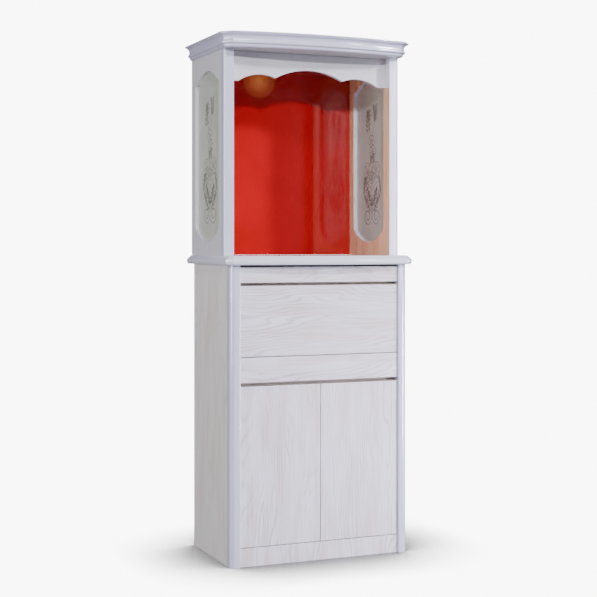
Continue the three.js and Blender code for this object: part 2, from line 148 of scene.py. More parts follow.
# Layers of the grain: scale across and along it, step of the seed, detail and roughness
GRAIN_LAYERS = {
    "flow": (6.5, 1.7, 0.0, 1.0, 0.5),
    "ripple": (34.0, 7.0, 1.7, 1.0, 0.5),
    "clouds": (10.0, 2.6, 11.3, 3.0, 0.5),
    "patches": (24.0, 4.2, 5.9, 2.0, 0.5),
    "fibres": (260.0, 5.0, 3.1, 3.0, 0.6),
    "pores": (900.0, 24.0, 7.7, 2.0, 0.55),
}
GRAIN_RAMPS = {"clouds": (0.38, 0.66), "patches": (0.36, 0.68), "fibres": (0.44, 0.68), "pores": (0.56, 0.72)}

# Grain lines in each metre, how far they wander in lines, and what each layer adds to the grain
LINE_DENSITY = 76.0
VENEER_LINE_DENSITY = 60.0
FLOW_RINGS = 24.0
RIPPLE_RINGS = 2.4
LINE_RAMP = (0.15, 1.0)
LEAST_LINES = 0.14
LINE_SHARE = 0.54
PATCH_SHARE = 0.1
FIBRE_SHARE = 0.3
PORE_SHARE = 0.2
PATCH_TINT = 0.95
GRAIN_ROUGHENING = 0.12
GRAIN_RELIEF = 0.08
GRAIN_DEPTH = 0.4 * MM
COAT_ROUGHNESS = 0.1
COAT_INDEX = 1.5
LACQUER_COAT_INDEX = 1.8
# Painted shade: the top board's wash is darkened, standing for the shade under the crown
TOP_BOARD_SHADE_LEVEL = 0.78
# Painted shade: the crown takes a slightly darker copy of the lacquer
CROWN_SHADE_LEVEL = 0.98
# Painted light: the ledge takes a brighter copy of the lacquer, none of it brighter than white
LEDGE_LIGHT_LEVEL = 1.22


# Materials

def new_material(name):
    material = bpy.data.materials.new(name)
    material.use_nodes = True
    tree = material.node_tree
    tree.nodes.clear()
    output = tree.nodes.new("ShaderNodeOutputMaterial")
    shader = tree.nodes.new("ShaderNodeBsdfPrincipled")
    tree.links.new(shader.outputs["BSDF"], output.inputs["Surface"])
    return material, tree, shader


def math_node(tree, operation, first, second=None, third=None, clamp=False):
    node = tree.nodes.new("ShaderNodeMath")
    node.operation = operation
    node.use_clamp = clamp
    for index, value in enumerate((first, second, third)):
        if value is None:
            continue
        if isinstance(value, (int, float)):
            node.inputs[index].default_value = value
        else:
            tree.links.new(value, node.inputs[index])
    return node.outputs[0]


def stretched_noise(tree, coordinates, scales, seed, detail, roughness=0.5):
    mapping = tree.nodes.new("ShaderNodeMapping")
    mapping.inputs["Scale"].default_value = scales
    tree.links.new(coordinates, mapping.inputs["Vector"])
    noise = tree.nodes.new("ShaderNodeTexNoise")
    noise.noise_dimensions = "4D"
    noise.inputs["W"].default_value = seed
    noise.inputs["Scale"].default_value = 1.0
    noise.inputs["Detail"].default_value = detail
    noise.inputs["Roughness"].default_value = roughness
    tree.links.new(mapping.outputs["Vector"], noise.inputs["Vector"])
    return noise.outputs["Fac"]


def ramp(tree, value, low, high):
    node = tree.nodes.new("ShaderNodeMapRange")
    node.interpolation_type = "SMOOTHSTEP"
    node.inputs["From Min"].default_value = low
    node.inputs["From Max"].default_value = high
    tree.links.new(value, node.inputs["Value"])
    return node.outputs["Result"]


def mix_colour(tree, factor, first, second):
    node = tree.nodes.new("ShaderNodeMix")
    node.data_type = "RGBA"
    tree.links.new(factor, node.inputs["Factor"])
    first_socket = [s for s in node.inputs if s.name == "A" and s.type == "RGBA"][0]
    second_socket = [s for s in node.inputs if s.name == "B" and s.type == "RGBA"][0]
    for socket, value in ((first_socket, first), (second_socket, second)):
        if isinstance(value, tuple):
            socket.default_value = (*value, 1.0)
        else:
            tree.links.new(value, socket)
    return [s for s in node.outputs if s.type == "RGBA"][0]


def grain_layer(tree, place, along, layer, seed):
    """One layer of the grain, drawn out along it."""
    across_scale, along_scale, seed_step, detail, roughness = GRAIN_LAYERS[layer]
    scales = tuple(along_scale if axis == along else across_scale for axis in "XYZ")
    noise = stretched_noise(tree, place, scales, seed + seed_step, detail, roughness)
    return ramp(tree, noise, *GRAIN_RAMPS[layer]) if layer in GRAIN_RAMPS else noise


def grained(name, along, across, seed, colours, contrast, roughness, coat=0.0, density=LINE_DENSITY,
            coat_index=COAT_INDEX):
    """Flat-sawn grain along one axis: flowing lines that close into eyes, fibres, pores and soft patches."""
    pale, dark, warm = colours
    material, tree, shader = new_material(name)
    place = tree.nodes.new("ShaderNodeTexCoord").outputs["Object"]
    split = tree.nodes.new("ShaderNodeSeparateXYZ")
    tree.links.new(place, split.inputs["Vector"])
    flow, ripple, clouds, patches, fibres, pores = (
        grain_layer(tree, place, along, layer, seed) for layer in GRAIN_LAYERS)
    phase = math_node(tree, "MULTIPLY", split.outputs[across], density * 2 * math.pi)
    phase = math_node(tree, "MULTIPLY_ADD", flow, FLOW_RINGS * 2 * math.pi, phase)
    phase = math_node(tree, "MULTIPLY_ADD", ripple, RIPPLE_RINGS * 2 * math.pi, phase)
    lines = ramp(tree, math_node(tree, "SINE", phase), *LINE_RAMP)
    shown = math_node(tree, "MULTIPLY_ADD", clouds, 1 - LEAST_LINES, LEAST_LINES)
    total = math_node(tree, "MULTIPLY", math_node(tree, "MULTIPLY", lines, shown), LINE_SHARE)
    for layer, share in ((patches, PATCH_SHARE), (fibres, FIBRE_SHARE), (pores, PORE_SHARE)):
        total = math_node(tree, "MULTIPLY_ADD", layer, share, total)
    factor = math_node(tree, "MULTIPLY", total, contrast, clamp=True)
    tinted = mix_colour(tree, math_node(tree, "MULTIPLY", patches, PATCH_TINT), pale, warm)
    colour = mix_colour(tree, factor, tinted, dark)
    tree.links.new(colour, shader.inputs["Base Color"])
    sheen = tree.nodes.new("ShaderNodeMapRange")
    sheen.inputs["To Min"].default_value = roughness
    sheen.inputs["To Max"].default_value = roughness + GRAIN_ROUGHENING
    tree.links.new(total, sheen.inputs["Value"])
    tree.links.new(sheen.outputs["Result"], shader.inputs["Roughness"])
    shader.inputs["Coat Weight"].default_value = coat
    shader.inputs["Coat Roughness"].default_value = COAT_ROUGHNESS
    shader.inputs["Coat IOR"].default_value = coat_index
    bump = tree.nodes.new("ShaderNodeBump")
    bump.inputs["Strength"].default_value = GRAIN_RELIEF
    bump.inputs["Distance"].default_value = GRAIN_DEPTH
    bump.invert = True
    tree.links.new(total, bump.inputs["Height"])
    tree.links.new(bump.outputs["Normal"], shader.inputs["Normal"])
    return material


def levelled(colours, level):
    """The same colours made brighter or darker, none brighter than white."""
    return tuple(tuple(min(level * part, 1.0) for part in colour) for colour in colours)


def lacquered(name, along, across, seed, level=1.0):
    """Lavender white lacquer through which the grain shows only faintly."""
    return grained(name, along, across, seed, levelled(LACQUER_COLOURS, level), contrast=0.22, roughness=0.3,
                   coat=1.0, coat_index=LACQUER_COAT_INDEX)


def whitewashed(name, along, across, seed):
    """White-washed board with grey-brown grain."""
    return grained(name, along, across, seed, FRONT_COLOURS, contrast=0.66, roughness=0.36, coat=0.25)


def washed_wall(name, along, across, seed, level=1.0):
    """Board of the shrine: the wash is thicker and hides most of the grain."""
    return grained(name, along, across, seed, levelled(WALL_COLOURS, level), contrast=0.4, roughness=0.34,
                   coat=0.3)


def washed_side(name, seed):
    """The cupboard's sides: the same wash as the fronts, warmer and streakier."""
    return grained(name, "Z", "Y", seed, SIDE_COLOURS, contrast=0.46, roughness=0.4, coat=0.15)


def veneer(name, seed):
    """Pinkish orange veneer with upright stripes."""
    return grained(name, "Z", "Y", seed, VENEER_COLOURS, contrast=0.55, roughness=0.32, coat=0.2,
                   density=VENEER_LINE_DENSITY)


def plain_wood(name, along, across, seed):
    """Bare wood of the tray and the drawers."""
    return grained(name, along, across, seed, DRAWER_COLOURS, contrast=0.6, roughness=0.5)


def carcass_wood(name, along, across, seed):
    """Grey-brown wood of the hidden boards."""
    return grained(name, along, across, seed, CARCASS_COLOURS, contrast=0.6, roughness=0.6)


def speckled(name, colours, scale, seed, roughness):
    """A colour that wanders a little between two shades."""
    material, tree, shader = new_material(name)
    place = tree.nodes.new("ShaderNodeTexCoord").outputs["Object"]
    wander = stretched_noise(tree, place, (scale, scale, scale), seed, SPECKLE_DETAIL)
    colour = mix_colour(tree, ramp(tree, wander, *SPECKLE_RAMP), *colours)
    tree.links.new(colour, shader.inputs["Base Color"])
    shader.inputs["Roughness"].default_value = roughness
    return material, shader


def make_red():
    material, shader = speckled("red_gloss_lacquer", RED_COLOURS, scale=7.0, seed=2.4, roughness=0.3)
    shader.inputs["Specular IOR Level"].default_value = 0.1
    shader.inputs["Coat Weight"].default_value = 1.0
    shader.inputs["Coat IOR"].default_value = 1.75
    shader.inputs["Coat Roughness"].default_value = 0.06
    return material


def make_glass():
    material, shader = speckled("frosted_window_glass", GLASS_COLOURS, scale=14.0, seed=5.2, roughness=0.5)
    shader.inputs["Transmission Weight"].default_value = 0.4
    shader.inputs["Specular IOR Level"].default_value = 0.3
    return material


RED = make_red()
GLASS = make_glass()
ETCHING, _ = speckled("etched_line_grey", ETCHING_COLOURS, scale=90.0, seed=9.6, roughness=0.55)
# Painted shade of the gaps between the fronts, laid on their edges
GAP_SHADE_BAND, _ = speckled("front_edge_gap_shade", GAP_SHADE_COLOURS, scale=60.0, seed=3.7, roughness=0.5)
LACQUER_UP = lacquered("lacquer_upright", "Z", "X", 4.1)
# Shaded copy of the lacquer for the crown: painted shade
CROWN_SHADED_LACQUER = lacquered("crown_shaded_lacquer", "X", "Z", 8.6, CROWN_SHADE_LEVEL)
# Lit copy of the lacquer for the ledge: painted light
LEDGE_LIT_LACQUER = lacquered("ledge_lit_lacquer", "X", "Z", 9.4, LEDGE_LIGHT_LEVEL)
REVEAL = whitewashed("reveal_wash", "Z", "Y", 6.3)
VALANCE_WASH = washed_wall("valance_wash", "X", "Z", 10.9)


# Shaping

def weld_piece(name, builder, node, materials):
    """One visual piece from a builder's points and faces, standing for a CAD node."""
    mesh = bpy.data.meshes.new(name)
    mesh.from_pydata(builder.points, [], builder.faces)
    for material in materials:
        mesh.materials.append(material)
    mesh.polygons.foreach_set("material_index", builder.kinds)
    work = bmesh.new()
    work.from_mesh(mesh)
    bmesh.ops.remove_doubles(work, verts=work.verts, dist=WELD_DISTANCE)
    bmesh.ops.recalc_face_normals(work, faces=work.faces)
    work.to_mesh(mesh)
    work.free()
    settle(name, mesh, node)


def settle(name, mesh, node):
    """Places a finished mesh in the scene, in the body of its CAD node, and hides the node."""
    mesh.shade_smooth()
    mesh.set_sharp_from_angle(angle=SMOOTH_ANGLE)
    piece = bpy.data.objects.new(name, mesh)
    bpy.context.scene.collection.objects.link(piece)
    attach(piece, BODY_OF[node])
    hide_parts(node)


def settle_work(name, work, node, materials):
    """The same for a piece that is still being shaped."""
    mesh = bpy.data.meshes.new(name)
    work.to_mesh(mesh)
    work.free()
    for material in materials:
        mesh.materials.append(material)
    settle(name, mesh, node)


def soft_block(node, edge, segments):
    """The node's box with rounded edges; a narrow flat rim keeps the shading of the big faces flat."""
    low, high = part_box(node)
    work = bmesh.new()
    bmesh.ops.create_cube(work, size=1.0)
    centre = (low + high) / 2
    size = high - low
    for vertex in work.verts:
        vertex.co = centre + Vector(vertex.co[axis] * size[axis] for axis in range(3))
    bmesh.ops.bevel(work, geom=work.edges[:], offset=edge, segments=segments, profile=0.5, affect="EDGES")
    flats = sorted(work.faces, key=lambda face: face.calc_area())[-6:]
    bmesh.ops.inset_individual(work, faces=flats, thickness=FLAT_RIM)
    return work


def edged_board(node, material, edge=BOARD_EDGE, segments=EDGE_SEGMENTS):
    """A board with softened edges, in the place of its CAD node."""
    settle_work(node + "_board", soft_block(node, edge, segments), node, [material])


def gap_shaded_front(node, material):
    """A front with softened edges, its side faces darkened all round as painted shade of the gaps between the
    fronts.
    """
    work = soft_block(node, FINE_EDGE, EDGE_SEGMENTS)
    for face in work.faces:
        face.normal_update()
        if abs(face.normal.y) < GAP_SHADE_TILT:
            face.material_index = 1
    settle_work(node + "_board", work, node, [material, GAP_SHADE_BAND])


def in_metres(values):
    """Millimetres to metres."""
    return tuple(value * MM for value in values)


def reach_of(low, high):
    """The nearest and the farthest distance of a side piece from the middle plane."""
    return min(abs(low.x), abs(high.x)), max(abs(low.x), abs(high.x))


def between(start, end, share):
    """The point at a share of the way from start to end."""
    return (start[0] + (end[0] - start[0]) * share, start[1] + (end[1] - start[1]) * share)


def arc_through(start, middle, end, steps):
    """Points after start on the arc through three points, ending on end."""
    ax, ay = middle[0] - start[0], middle[1] - start[1]
    bx, by = end[0] - start[0], end[1] - start[1]
    cross = 2 * (ax * by - ay * bx)
    cx = start[0] + (by * (ax * ax + ay * ay) - ay * (bx * bx + by * by)) / cross
    cy = start[1] + (ax * (bx * bx + by * by) - bx * (ax * ax + ay * ay)) / cross
    radius = math.hypot(start[0] - cx, start[1] - cy)
    first = math.atan2(start[1] - cy, start[0] - cx)
    last = math.atan2(end[1] - cy, end[0] - cx)
    if cross > 0 and last < first:
        last += 2 * math.pi
    if cross < 0 and last > first:
        last -= 2 * math.pi
    angles = [first + (last - first) * (step + 1) / steps for step in range(steps)]
    return [(cx + radius * math.cos(a), cy + radius * math.sin(a)) for a in angles]


def quadratic(start, control, end, steps):
    """Points after start on the curve that leaves toward control and comes from it to end."""
    points = []
    for step in range(1, steps + 1):
        t = step / steps
        weights = ((1 - t) ** 2, 2 * t * (1 - t), t * t)
        pairs = tuple(zip(weights, (start, control, end)))
        points.append(tuple(sum(weight * point[axis] for weight, point in pairs) for axis in (0, 1)))
    return points


def turn_arc(centre, radius, first, last, steps):
    """Points of an arc with both angles in quarter turns."""
    angles = [(first + (last - first) * step / steps) * math.pi / 2 for step in range(steps + 1)]
    return [(centre[0] + radius[0] * math.cos(a), centre[1] + radius[1] * math.sin(a)) for a in angles]


def outward_at(points, closed):
    """Mitred outward directions of an outline that runs anticlockwise."""
    count = len(points)
    sides = []
    for index in range(count if closed else count - 1):
        ax, ay = points[index]
        bx, by = points[(index + 1) % count]
        length = math.hypot(bx - ax, by - ay)
        sides.append(((by - ay) / length, (ax - bx) / length))
    result = []
    for index in range(count):
        before = sides[index - 1] if closed or index > 0 else sides[0]
        after = sides[index % len(sides)] if closed or index < count - 1 else sides[-1]
        scale = 1 + before[0] * after[0] + before[1] * after[1]
        result.append(((before[0] + after[0]) / scale, (before[1] + after[1]) / scale))
    return result


def offset_outline(points, distance, closed=True):
    """The outline moved outward by a distance."""
    directions = outward_at(points, closed)
    return [(p[0] + d[0] * distance, p[1] + d[1] * distance) for p, d in zip(points, directions)]


def with_flat_rims(points):
    """Adds a point close to each end of the long sides, so that their shading stays flat."""
    result = []
    for index, point in enumerate(points):
        after = points[(index + 1) % len(points)]
        result.append(point)
        length = math.hypot(after[0] - point[0], after[1] - point[1])
        if length > LONG_SIDE:
            for share in (FLAT_RIM / length, 1 - FLAT_RIM / length):
                result.append(between(point, after, share))
    return result


class Builder:
    """Collects points and faces, with a material index for each face."""

    def __init__(self, place):
        self.place = place
        self.points = []
        self.faces = []
        self.kinds = []

    def ring(self, outline, level):
        start = len(self.points)
        self.points.extend(self.place(a, b, level) for a, b in outline)
        return list(range(start, len(self.points)))

    def wall(self, outline_a, level_a, outline_b, level_b, kind=0, closed=True):
        low = self.ring(outline_a, level_a)
        high = self.ring(outline_b, level_b)
        count = len(low)
        for index in range(count if closed else count - 1):
            after = (index + 1) % count
            self.faces.append((low[index], low[after], high[after], high[index]))
            self.kinds.append(kind)

    def skin(self, outlines, level, kind=0):
        flat = [point for outline in outlines for point in outline]
        ids = self.ring(flat, level)
        loops = [[Vector((a, b, 0.0)) for a, b in outline] for outline in outlines]
        for triangle in tessellate_polygon(loops):
            self.faces.append(tuple(ids[corner] for corner in triangle))
            self.kinds.append(kind)

    def prism(self, outline, low, high):
        self.skin([outline], low)
        self.skin([outline], high)
        self.wall(outline, low, outline, high)


def rectangle(low, high):
    return [(low[0], low[1]), (high[0], low[1]), (high[0], high[1]), (low[0], high[1])]


# Cupboard posts: rounded outer corner, carried up from the floor

def make_cupboard_post(side, label):
    node = f"cupboard_{label}_post"
    low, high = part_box(node)
    inner, outer = reach_of(low, high)
    radius = CUPBOARD_POST_RADIUS
    front = low.y
    outline = [(inner, high.y), (inner, front + CUPBOARD_POST_INNER_RADIUS)]
    outline += quadratic(outline[-1], (inner, front), (inner + CUPBOARD_POST_INNER_RADIUS, front), CORNER_STEPS)
    outline += turn_arc((outer - radius, front + radius), (radius, radius), -1, 0, 2 * CORNER_STEPS)
    outline.append((outer, high.y))
    outline = with_flat_rims(outline)
    builder = Builder(lambda a, b, level: (side * a, b, level))
    builder.prism(outline, low.z, high.z)
    weld_piece(node + "_turned", builder, node, [LACQUER_UP])


for post_side, post_label in ((-1, "left"), (1, "right")):
    make_cupboard_post(post_side, post_label)


# Ledge and crown: rings of a bowed plan line

def bowed_path(half, back, front, chamfer, bow):
    """Plan line from the right back corner round the front to the left back corner."""
    shoulder = half - chamfer
    radius = (shoulder ** 2 + bow ** 2) / (2 * bow)
    reach = math.asin(shoulder / radius)
    points = [(half, back), (half, front + bow + chamfer)]
    for step in range(BOW_STEPS + 1):
        angle = reach * (1 - 2 * step / BOW_STEPS)
        points.append((radius * math.sin(angle), front + radius * (1 - math.cos(angle))))
    points += [(-half, front + bow + chamfer), (-half, back)]
    return points


def round_corners(points, corners, radius, steps):
    """Replaces the corners named by index with small arcs, always with the same count of points."""
    result = []
    for index, point in enumerate(points):
        if index not in corners:
            result.append(point)
            continue
        here = Vector(point)
        before = (Vector(points[index - 1]) - here).normalized()
        after = (Vector(points[index + 1]) - here).normalized()
        reach = radius / math.tan(before.angle(after) / 2)
        result.append(tuple(here + before * reach))
        result += quadratic(here + before * reach, here, here + after * reach, steps)
    return result


def corner_places(points):
    """The four corners of a bowed plan line."""
    return (1, 2, len(points) - 3, len(points) - 2)


def ring_at(path, reach, radius):
    """The plan line moved outward, with rounded corners."""
    shifted = offset_outline(path, -reach, closed=False)
    return round_corners(shifted, corner_places(shifted), radius, RING_CORNER_STEPS)


def make_crown():
    node = "crown_moulding"
    low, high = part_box(node)
    path = bowed_path(high.x - CROWN_REACH, high.y, low.y + CROWN_REACH, CROWN_CHAMFER, CROWN_BOW)
    section = [(-CROWN_WALL, 0.0)]
    for centre, radii, first, last, added_steps in CROWN_ARCS:
        section += turn_arc(in_metres(centre), in_metres(radii), first, last, PROFILE_STEPS + added_steps)
    section.append((-CROWN_WALL, high.z - low.z))
    builder = Builder(lambda a, b, level: (a, b, low.z + level))
    rings = [ring_at(path, reach, CROWN_CORNER_ROUND if reach >= 0 else SHARP_CORNER) for reach, _ in section]
    for index, (_, level) in enumerate(section):
        after = (index + 1) % len(section)
        builder.wall(rings[index], level, rings[after], section[after][1], closed=False)
    for end in (0, -1):
        start = len(builder.points)
        builder.points.extend((ring[end][0], ring[end][1], low.z + level)
                              for ring, (_, level) in zip(rings, section))
        builder.faces.append(tuple(range(start, len(builder.points))))
        builder.kinds.append(0)
    weld_piece("crown_moulding_run", builder, node, [CROWN_SHADED_LACQUER])


def make_ledge():
    node = "ledge"
    low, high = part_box(node)
    path = bowed_path(high.x, high.y, low.y, LEDGE_CHAMFER, LEDGE_BOW)
    height = high.z - low.z
    levels = turn_arc(LEDGE_NOSE, LEDGE_NOSE, -1, -2, PROFILE_STEPS)
    levels += [in_metres(step) for step in LEDGE_LOWER_STEPS]
    levels += [(inset * MM, height - depth * MM) for inset, depth in LEDGE_UPPER_STEPS]
    builder = Builder(lambda a, b, level: (a, b, low.z + level))
    rings = [ring_at(path, -inset, LEDGE_CORNER_ROUND) for inset, _ in levels]
    for index in range(len(levels) - 1):
        builder.wall(rings[index], levels[index][1], rings[index + 1], levels[index + 1][1])
    builder.skin([rings[0]], levels[0][1])
    builder.skin([rings[-1]], height)
    weld_piece("ledge_slab", builder, node, [LEDGE_LIT_LACQUER])


make_crown()
make_ledge()


# Shrine: posts, walls and linings with their windows, glass, valance and red back

def make_shrine_post(side, label):
    node = f"shrine_{label}_post"
    low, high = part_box(node)
    inner, outer = reach_of(low, high)
    radius = SHRINE_POST_RADIUS
    wall = inner + SHRINE_POST_LIP_WIDTH
    arris = POST_EDGE
    back = high.y + JOINT_GAP
    outline = [(inner + arris, low.y)]
    outline += turn_arc((outer - radius, low.y + radius), (radius, radius), -1, 0, CORNER_STEPS)
    outline += [(outer, back), (wall, back), (wall, low.y + SHRINE_POST_LIP)]
    outline += [(inner, low.y + SHRINE_POST_LIP), (inner, low.y + arris)]
    outline = with_flat_rims(outline)
    builder = Builder(lambda a, b, level: (side * a, b, level))
    builder.prism(outline, low.z, high.z)
    weld_piece(node + "_rounded", builder, node, [LACQUER_UP])


def window_outline(label):
    """The window's outline as (y, z), anticlockwise, from the pane that covers it."""
    low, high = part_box(f"{label}_window_glass")
    front, rear = low.y + WINDOW_COVER, high.y - WINDOW_COVER
    sill, top = low.z + WINDOW_COVER, high.z - WINDOW_COVER
    middle = (front + rear) / 2
    cusp = top - WINDOW_ARCH_RISE
    shoulder = cusp - WINDOW_SHOULDER[1]
    half = (rear - front) / 2
    radius = (half ** 2 + WINDOW_SILL_RISE ** 2) / (2 * WINDOW_SILL_RISE)
    trimmed = half - WINDOW_CORNER_ROUND
    drop = math.sqrt(radius ** 2 - trimmed ** 2)
    arc_end = sill + radius - drop
    control = arc_end + WINDOW_CORNER_ROUND * trimmed / drop
    corner = control + math.hypot(WINDOW_CORNER_ROUND, control - arc_end)
    points = [(front, corner)]
    points += quadratic(points[-1], (front, control), (middle - trimmed, arc_end), CORNER_STEPS)
    points += arc_through(points[-1], (middle, sill), (middle + trimmed, arc_end), ARC_STEPS)
    points += quadratic(points[-1], (rear, control), (rear, corner), CORNER_STEPS)
    points.append((rear, shoulder))
    points += quadratic(points[-1], (rear, cusp), (rear - WINDOW_SHOULDER[0], cusp), CORNER_STEPS)
    points += arc_through(points[-1], (middle, top), (front + WINDOW_SHOULDER[0], cusp), ARC_STEPS)
    points += quadratic(points[-1], (front, cusp), (front, shoulder), CORNER_STEPS)
    return points


def make_wall(side, label):
    node = f"shrine_{label}_wall"
    low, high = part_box(node)
    pane_low, pane_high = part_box(f"{label}_window_glass")
    inner, outer = reach_of(low, high)
    step = reach_of(pane_low, pane_high)[1] + PANE_SEAT
    edge = WALL_EDGE
    opening = window_outline(label)
    flared = offset_outline(opening, edge)
    rebate = rectangle((pane_low.y - JOINT_GAP, pane_low.z - JOINT_GAP),
                       (pane_high.y + JOINT_GAP, pane_high.z + JOINT_GAP))
    rim = rectangle((low.y, low.z), (high.y, high.z))
    builder = Builder(lambda a, b, level: (side * level, a, b))
    builder.skin([rim, flared], outer)
    builder.wall(flared, outer, opening, outer - edge)
    builder.wall(opening, outer - edge, opening, step)
    builder.skin([rebate, opening], step)
    builder.wall(rebate, step, rebate, inner)
    builder.skin([rim, rebate], inner)
    builder.wall(rim, outer, rim, inner)
    wash = washed_wall(f"wall_wash_{label}", "Z", "Y", 12.0 + side)
    weld_piece(node + "_panel", builder, node, [wash])


def make_lining(side, label):
    node = f"shrine_{label}_lining"
    low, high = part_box(node)
    inner, outer = reach_of(low, high)
    edge = LINING_EDGE
    opening = window_outline(label)
    flared = offset_outline(opening, edge)
    rim = rectangle((low.y, low.z), (high.y, high.z))
    builder = Builder(lambda a, b, level: (side * level, a, b))
    builder.skin([rim, flared], inner, 0)
    builder.wall(flared, inner, opening, inner + edge, 1)
    builder.wall(opening, inner + edge, opening, outer, 1)
    builder.skin([rim, opening], outer, 0)
    builder.wall(rim, inner, rim, outer, 0)
    valance_low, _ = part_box("valance")
    strip = rectangle((low.y + JOINT_GAP, valance_low.z), (valance_low.y - JOINT_GAP, high.z - JOINT_GAP))
    builder.skin([strip], inner - COVER_STRIP, 1)
    builder.wall(strip, inner - COVER_STRIP, strip, inner, 1)
    wood = veneer(f"lining_veneer_{label}", 15.0 + side)
    weld_piece(node + "_veneered", builder, node, [wood, REVEAL])


class Etching:
    """Thin flat strokes in the plane of a pane, in millimetres, with s across it and t up it."""

    def __init__(self, place):
        self.place = place
        self.points = []
        self.faces = []

    def add(self, outline, faces):
        start = len(self.points)
        self.points.extend(self.place(s * MM, t * MM) for s, t in outline)
        self.faces.extend(tuple(start + corner for corner in face) for face in faces)

    def stroke(self, line, width):
        """A ribbon along a line, thinner at both ends."""
        last = len(line) - 1
        outline = []
        for index, (s, t) in enumerate(line):
            before, after = line[max(index - 1, 0)], line[min(index + 1, last)]
            length = math.hypot(after[0] - before[0], after[1] - before[1])
            reach = width / 2 * (STROKE_TIP + (1 - STROKE_TIP) * math.sin(math.pi * index / last))
            across_s = (before[1] - after[1]) / length * reach
            across_t = (after[0] - before[0]) / length * reach
            outline += [(s + across_s, t + across_t), (s - across_s, t - across_t)]
        self.add(outline, [(2 * k, 2 * k + 1, 2 * k + 3, 2 * k + 2) for k in range(last)])

    def leaf(self, root, angle, length, width):
        """A filled leaf with a bare vein, as two slim halves."""
        for side in (-1, 1):
            line = []
            for step in range(LEAF_STEPS + 1):
                share = step / LEAF_STEPS
                bulge = LEAF_FOOT + math.sin(math.pi * share) ** LEAF_ROUNDNESS
                line.append((share * length, side * bulge * width / 2))
            vein = [(along, side * LEAF_VEIN * width) for along, _ in reversed(line)]
            turned = [turned_by(point, angle, root) for point in line + vein]
            self.add(turned, [tuple(range(len(turned)))])

    def petal(self, centre, angle, inner, outer, width):
        """A closed loop that reaches from the flower's heart to its rim."""
        line = []
        for step in range(PETAL_STEPS + 1):
            turn = 2 * math.pi * step / PETAL_STEPS
            along = (inner + outer) / 2 - (outer - inner) / 2 * math.cos(turn)
            line.append(turned_by((along, width / 2 * math.sin(turn)), angle, centre))
        self.stroke(line, PETAL_STROKE)

    def flower(self, centre, radius, petals, turn):
        """Petals with a stamen in each, round a heart of small leaves."""
        for index in range(petals):
            angle = turn + 2 * math.pi * index / petals
            self.petal(centre, angle, radius * PETAL_START, radius, radius * PETAL_WIDTH)
            stamen = [turned_by((radius * reach, 0.0), angle, centre) for reach in STAMEN_REACHES]
            self.stroke(stamen, STAMEN_STROKE)
        for index in range(petals):
            angle = 2 * math.pi * index / petals + HEART_TURN
            root = turned_by((radius * HEART_START, 0.0), angle, centre)
            self.leaf(root, angle, radius * HEART_LENGTH, radius * HEART_WIDTH)

    def curl(self, start, angle, radius, turns, side, width):
        """A spiral that winds in from its start."""
        line = []
        for step in range(CURL_STEPS + 1):
            share = step / CURL_STEPS
            reach = radius * (1 - CURL_TIGHTENING * share)
            turn = side * 2 * math.pi * turns * share
            line.append((radius - reach * math.cos(turn), -reach * math.sin(turn)))
        self.stroke([turned_by(point, angle, start) for point in line], width)

    def stem(self, start, bend, end, width):
        self.stroke([start] + quadratic(start, bend, end, STEM_STEPS), width)


def turned_by(point, angle, place):
    """The point turned by an angle and moved to a place."""
    c, s = math.cos(angle), math.sin(angle)
    return (place[0] + point[0] * c - point[1] * s, place[1] + point[0] * s + point[1] * c)


# Forms of the strokes, as shares of their width, of a leaf's width and of a flower's radius.
# The widths of strokes are in millimetres, and the turn is in radians
STROKE_TIP = 0.45
LEAF_FOOT = 0.12
LEAF_ROUNDNESS = 0.8
LEAF_VEIN = 0.1
PETAL_START = 0.28
PETAL_WIDTH = 0.95
PETAL_STROKE = 2.4
STAMEN_REACHES = (0.26, 0.62)
STAMEN_STROKE = 2.2
HEART_TURN = 0.4
HEART_START = 0.04
HEART_LENGTH = 0.22
HEART_WIDTH = 0.12
CURL_TIGHTENING = 0.8

# The spray in millimetres, from the middle of the window's sill. Curls, on both sides: place across and up,
# lean from upright in degrees, radius, turns, way of winding, width
CURLS = (
    (2, 96, 90, 34, 1.6, 1, 4.6),
    (8, 128, 60, 28, 1.3, -1, 3.2),
)
# Stems: start, bend, end and width
SIDE_STEMS = (
    ((0, 104), (24, 136), (66, 160), 2.6),
    ((0, 108), (12, 158), (40, 190), 2.6),
    ((0, 190), (16, 214), (50, 226), 2.4),
    ((6, 262), (34, 262), (70, 214), 2.4),
)
STEMS = (
    ((0, 100), (4, 190), (0, 262), 2.8),
    ((0, 280), (-10, 316), (0, 350), 2.6),
    ((4, 402), (-26, 440), (-30, 508), 2.6),
    ((4, 402), (46, 430), (26, 492), 2.4),
)
# Leaves along a bowed line on both sides: bow and spread across, foot and rise, lean and its step,
# length, width
BUSH_LEAVES = (
    (40, 22, 105, 56, 95, -22, 22, 10),
    (24, 12, 114, 78, -48, 14, 19, 8),
    (24, 12, 114, 78, 58, -10, 20, 9),
)
BUSH_PLACES = (0.3, 0.47, 0.64, 0.81, 0.98)
# Rows of leaves: count, place across and up, their steps, angle in degrees and its step, length, width
LEAF_ROWS = (
    (4, -48, 250, -6, -15, 220, 12, 26, 10),
    (4, 48, 250, 6, -15, -40, -12, 26, 10),
    (3, -4, 300, 0, 10, 150, -8, 23, 9),
    (3, 0, 296, 0, 10, 30, 8, 23, 9),
    (5, -26, 452, 0, 13, 58, -5, 26, 10),
    (5, -28, 456, 0, 13, 118, 5, 21, 9),
    (5, 34, 420, 0, 15, 32, 7, 26, 10),
    (5, 32, 424, 0, 15, 142, -6, 20, 9),
)
# Flowers: place across and up, radius, petals, turn in radians
FLOWERS = (
    (-40, 176, 22, 5, -0.3),
    (40, 176, 22, 5, 0.3),
    (-34, 272, 32, 6, 0.0),
    (36, 264, 36, 6, 0.4),
    (52, 222, 26, 5, 0.9),
    (0, 240, 22, 5, 0.2),
    (-4, 340, 27, 5, 0.5),
    (4, 382, 24, 5, 1.1),
    (26, 484, 20, 5, 0.3),
)


